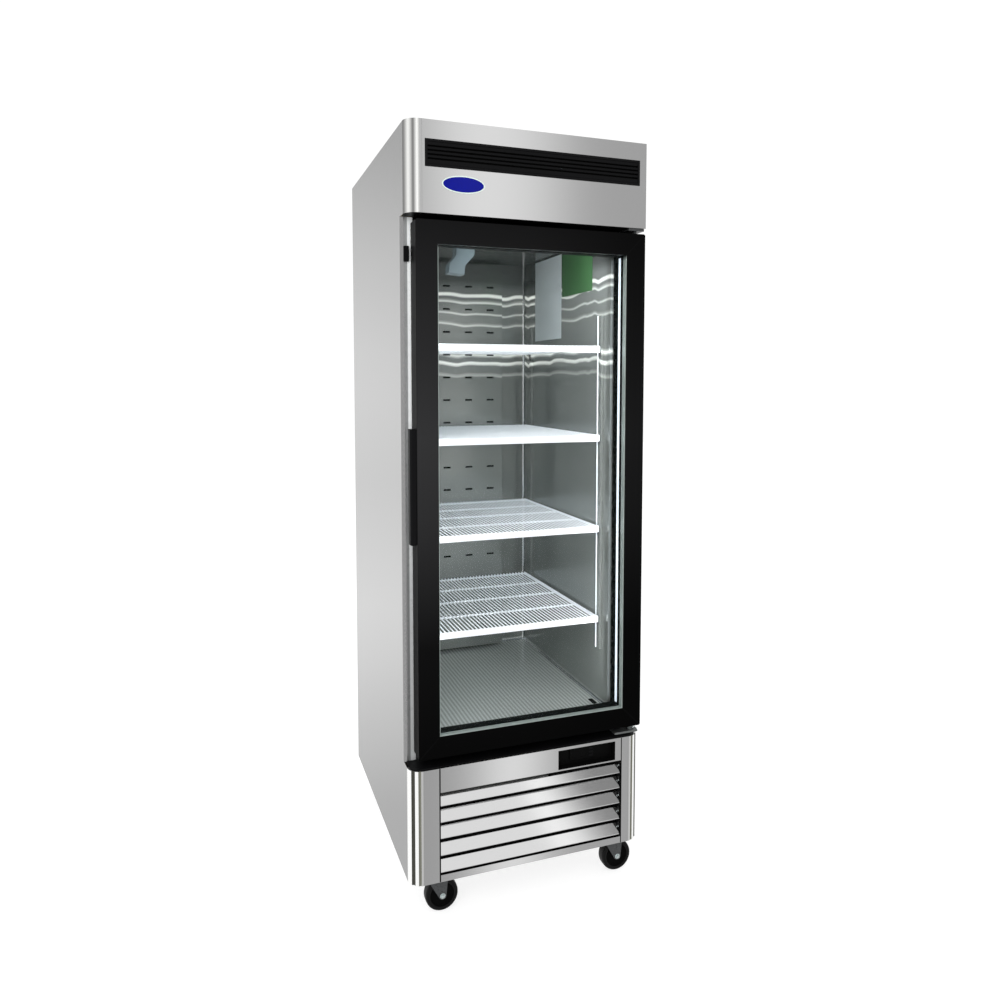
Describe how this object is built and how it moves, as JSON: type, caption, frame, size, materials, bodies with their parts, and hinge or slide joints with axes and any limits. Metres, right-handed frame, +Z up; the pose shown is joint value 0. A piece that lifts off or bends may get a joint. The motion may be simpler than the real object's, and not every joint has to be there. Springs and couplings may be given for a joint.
{
  "type": "reach-in refrigerator",
  "caption": "Upright stainless reach-in refrigerator with a hinged glass door, wire shelves, a louvred bottom-mounted machine compartment and swivel casters.",
  "frame": {"origin": "on the floor, at the middle of the cabinet's width and depth", "axes": "+Z up, -Y out of the front where the door is, +X to the right of somebody facing the door"},
  "size_m": [0.686, 0.8, 2.11],
  "materials": {
    "stainless": "brushed stainless sheet",
    "liner": "bright stainless liner sheet",
    "galvanised": "plain galvanised steel",
    "black_frame": "satin black",
    "black_plastic": "fine satin black",
    "glass": "clear float glass",
    "spacer": "satin",
    "shelf_white": "white plastic-coated wire",
    "foam": "rigid polyurethane foam",
    "badge_blue": "plain blue oval with a light rim",
    "lamp": "translucent moulded cover",
    "rubber": "black",
    "cast_iron": "black enamel",
    "zinc": "dark zinc plate"
  },
  "bodies": {
    "root": {"side_panel_left": "stainless", "side_panel_right": "stainless", "back_panel": "stainless", "top_panel": "stainless", "insulation_foam": "foam", "liner": "liner", "face_frame": "stainless", "rear_cover": "galvanised", "header_panel": "stainless", "header_corner_trim": "stainless", "vent_grille": "black_plastic", "badge": "badge_blue", "corner_post_left": "stainless", "corner_post_right": "stainless", "control_strip": "stainless", "controller_box": "black_plastic", "thermostat": "black_plastic", "louvre_grille": "stainless", "base_tray": "stainless", "sill_deck": "black_plastic", "compressor": "cast_iron", "condenser_coil": "galvanised", "fan_shroud": "galvanised", "drain_pan": "black_plastic", "electrical_box": "galvanised", "duct_panel": "liner", "evaporator_coil": "galvanised", "shelf_1": "shelf_white", "shelf_2": "shelf_white", "shelf_3": "shelf_white", "shelf_4": "shelf_white", "pilaster_front_right": "liner", "pilaster_front_left": "liner", "pilaster_rear_right": "liner", "pilaster_rear_left": "liner", "lamp_cover": "lamp", "top_hinge_bracket": "zinc", "bottom_hinge_bracket": "zinc", "door_switch": "black_plastic", "caster_rail_front": "zinc", "caster_rail_rear": "zinc"},
    "door": {"door_frame": "black_frame", "outer_glass": "glass", "glass_spacer": "spacer", "inner_glass": "glass", "door_gasket": "rubber", "door_handle": "black_frame"},
    "condenser_fan": {"condenser_fan": "galvanised"},
    "evaporator_fan": {"evaporator_fan": "black_plastic"},
    "thermostat_button_1": {"thermostat_button_1": "black_plastic"},
    "thermostat_button_2": {"thermostat_button_2": "black_plastic"},
    "thermostat_button_3": {"thermostat_button_3": "black_plastic"},
    "caster_fork_front_left": {"caster_fork_front_left": "zinc"},
    "caster_fork_front_right": {"caster_fork_front_right": "zinc"},
    "caster_fork_rear_left": {"caster_fork_rear_left": "zinc"},
    "caster_fork_rear_right": {"caster_fork_rear_right": "zinc"},
    "caster_wheel_front_left": {"caster_wheel_front_left": "rubber"},
    "caster_wheel_front_right": {"caster_wheel_front_right": "rubber"},
    "caster_wheel_rear_left": {"caster_wheel_rear_left": "rubber"},
    "caster_wheel_rear_right": {"caster_wheel_rear_right": "rubber"}
  },
  "joints": [
    {"name": "door_hinge", "type": "hinge", "parent": "root", "child": "door", "pos_m": [0.322, -0.373, 1.156], "axis": [0, 0, 1], "range_deg": [0, 120], "stiffness_Nm_per_rad": 1.5},
    {"name": "thermostat_button_1_press", "type": "slide", "parent": "root", "child": "thermostat_button_1", "axis": [0, 1, 0], "range_m": [0, 0.0008], "stiffness_N_per_m": 300},
    {"name": "thermostat_button_2_press", "type": "slide", "parent": "root", "child": "thermostat_button_2", "axis": [0, 1, 0], "range_m": [0, 0.0008], "stiffness_N_per_m": 300},
    {"name": "thermostat_button_3_press", "type": "slide", "parent": "root", "child": "thermostat_button_3", "axis": [0, 1, 0], "range_m": [0, 0.0008], "stiffness_N_per_m": 300},
    {"name": "condenser_fan_spin", "type": "hinge", "parent": "root", "child": "condenser_fan", "pos_m": [-0.08, -0.266, 0.254], "axis": [0, 1, 0], "continuous": true},
    {"name": "evaporator_fan_spin", "type": "hinge", "parent": "root", "child": "evaporator_fan", "pos_m": [0, 0.306, 1.47], "axis": [0, 1, 0], "continuous": true},
    {"name": "caster_swivel_front_left", "type": "hinge", "parent": "root", "child": "caster_fork_front_left", "pos_m": [-0.268, -0.345, 0.0995], "axis": [0, 0, 1], "continuous": true},
    {"name": "caster_swivel_front_right", "type": "hinge", "parent": "root", "child": "caster_fork_front_right", "pos_m": [0.268, -0.345, 0.0995], "axis": [0, 0, 1], "continuous": true},
    {"name": "caster_swivel_rear_left", "type": "hinge", "parent": "root", "child": "caster_fork_rear_left", "pos_m": [-0.268, 0.345, 0.0995], "axis": [0, 0, 1], "continuous": true},
    {"name": "caster_swivel_rear_right", "type": "hinge", "parent": "root", "child": "caster_fork_rear_right", "pos_m": [0.268, 0.345, 0.0995], "axis": [0, 0, 1], "continuous": true},
    {"name": "caster_roll_front_left", "type": "hinge", "parent": "caster_fork_front_left", "child": "caster_wheel_front_left", "pos_m": [-0.246, -0.345, 0.046], "axis": [0, 1, 0], "continuous": true},
    {"name": "caster_roll_front_right", "type": "hinge", "parent": "caster_fork_front_right", "child": "caster_wheel_front_right", "pos_m": [0.29, -0.345, 0.046], "axis": [0, 1, 0], "continuous": true},
    {"name": "caster_roll_rear_left", "type": "hinge", "parent": "caster_fork_rear_left", "child": "caster_wheel_rear_left", "pos_m": [-0.246, 0.345, 0.046], "axis": [0, 1, 0], "continuous": true},
    {"name": "caster_roll_rear_right", "type": "hinge", "parent": "caster_fork_rear_right", "child": "caster_wheel_rear_right", "pos_m": [0.29, 0.345, 0.046], "axis": [0, 1, 0], "continuous": true}
  ]
}
